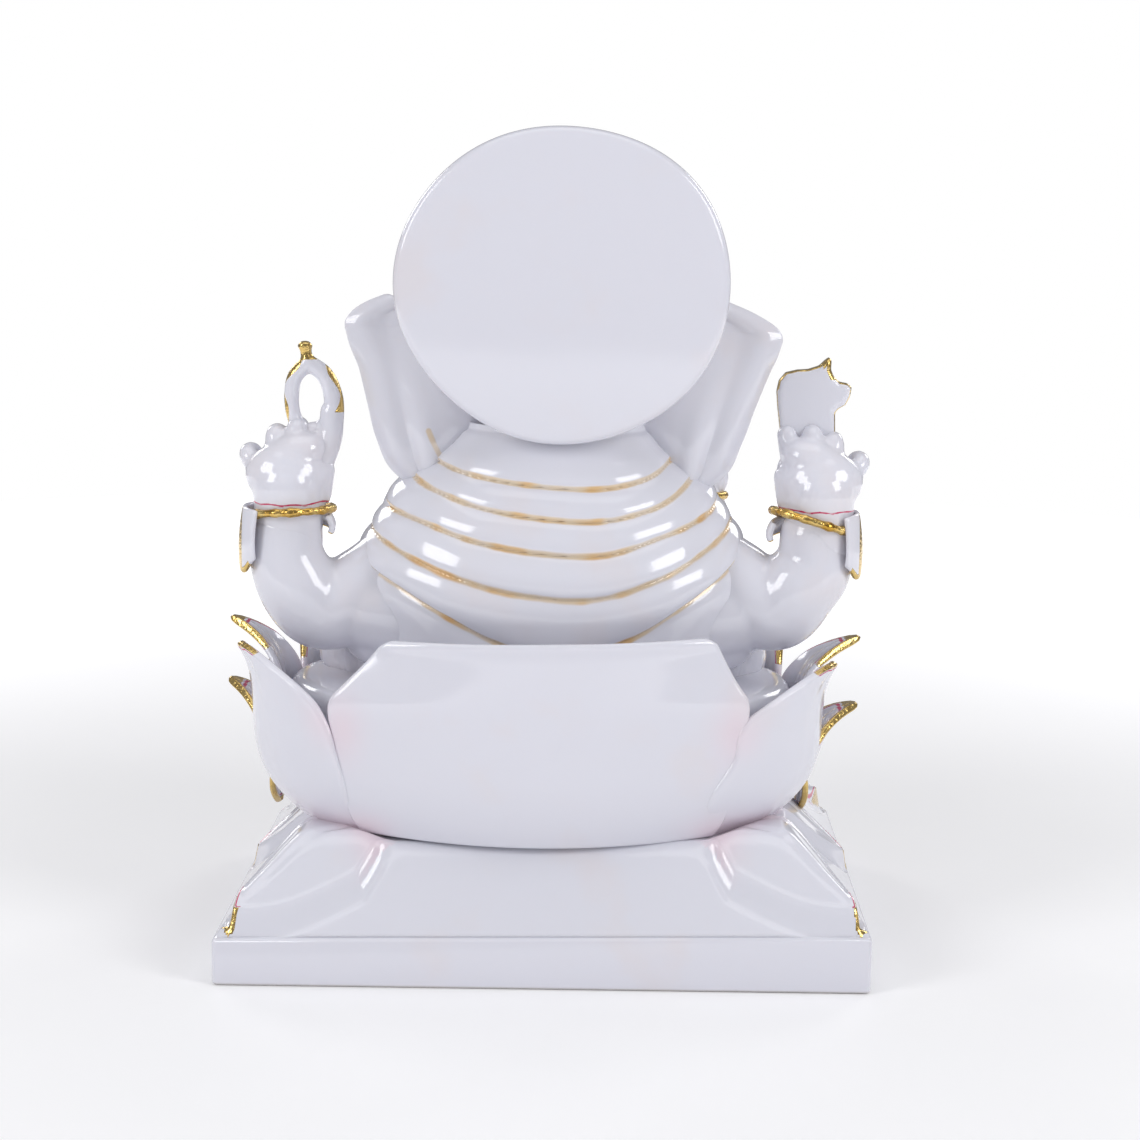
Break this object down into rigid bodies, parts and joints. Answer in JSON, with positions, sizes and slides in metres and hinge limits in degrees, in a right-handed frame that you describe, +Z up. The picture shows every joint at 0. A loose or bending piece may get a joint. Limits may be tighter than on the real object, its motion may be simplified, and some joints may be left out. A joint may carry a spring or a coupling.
{
  "type": "deity figurine",
  "caption": "Seated elephant-headed deity figurine on a lotus, white cast marble with gilt lines, round halo behind the head; table or shelf ornament.",
  "frame": {"origin": "centre of the underside of the slab", "axes": "+Z up from the surface it stands on, -Y the way the figure faces, +X towards the figure's own left"},
  "size_m": [0.1798, 0.1262, 0.2266],
  "materials": {
    "marble": "polished, glossy clear-coated white cast marble",
    "gilding": "bright gold paint or leaf",
    "sweets": "glossy yellow paint on cast marble"
  },
  "bodies": {
    "root": {"axe": "marble", "base_mound": "marble", "base_slab": "marble", "blessing_hand": "marble", "crown": "gilding", "droop_petal_front_left": "marble", "droop_petal_front_right": "marble", "droop_petal_side_left": "marble", "droop_petal_side_right": "marble", "ear_left": "marble", "ear_right": "marble", "front_arm_left": "marble", "front_arm_right": "marble", "front_bracelet_left": "gilding", "front_bracelet_right": "gilding", "halo_disc": "marble", "head": "marble", "inner_petal_back_left": "marble", "inner_petal_back_right": "marble", "inner_petal_front": "marble", "inner_petal_front_left": "marble", "inner_petal_front_right": "marble", "inner_petal_side_front_left": "marble", "inner_petal_side_front_right": "marble", "inner_petal_side_left": "marble", "inner_petal_side_right": "marble", "leg_left": "marble", "leg_right": "marble", "lotus_back": "marble", "lotus_seat": "marble", "noose": "marble", "offering_hand": "marble", "outer_petal_back_left": "marble", "outer_petal_back_right": "marble", "outer_petal_corner_left": "marble", "outer_petal_corner_right": "marble", "outer_petal_front_left": "marble", "outer_petal_front_right": "marble", "outer_petal_side_left": "marble", "outer_petal_side_right": "marble", "rear_arm_left": "marble", "rear_arm_right": "marble", "rear_cuff_left": "gilding", "rear_cuff_right": "gilding", "rear_hand_left": "marble", "rear_hand_right": "marble", "shawl": "marble", "sweets": "sweets", "sweets_bowl": "gilding", "torso": "marble", "trunk": "marble", "tusk_left": "marble", "tusk_right": "marble"}
  },
  "joints": []
}
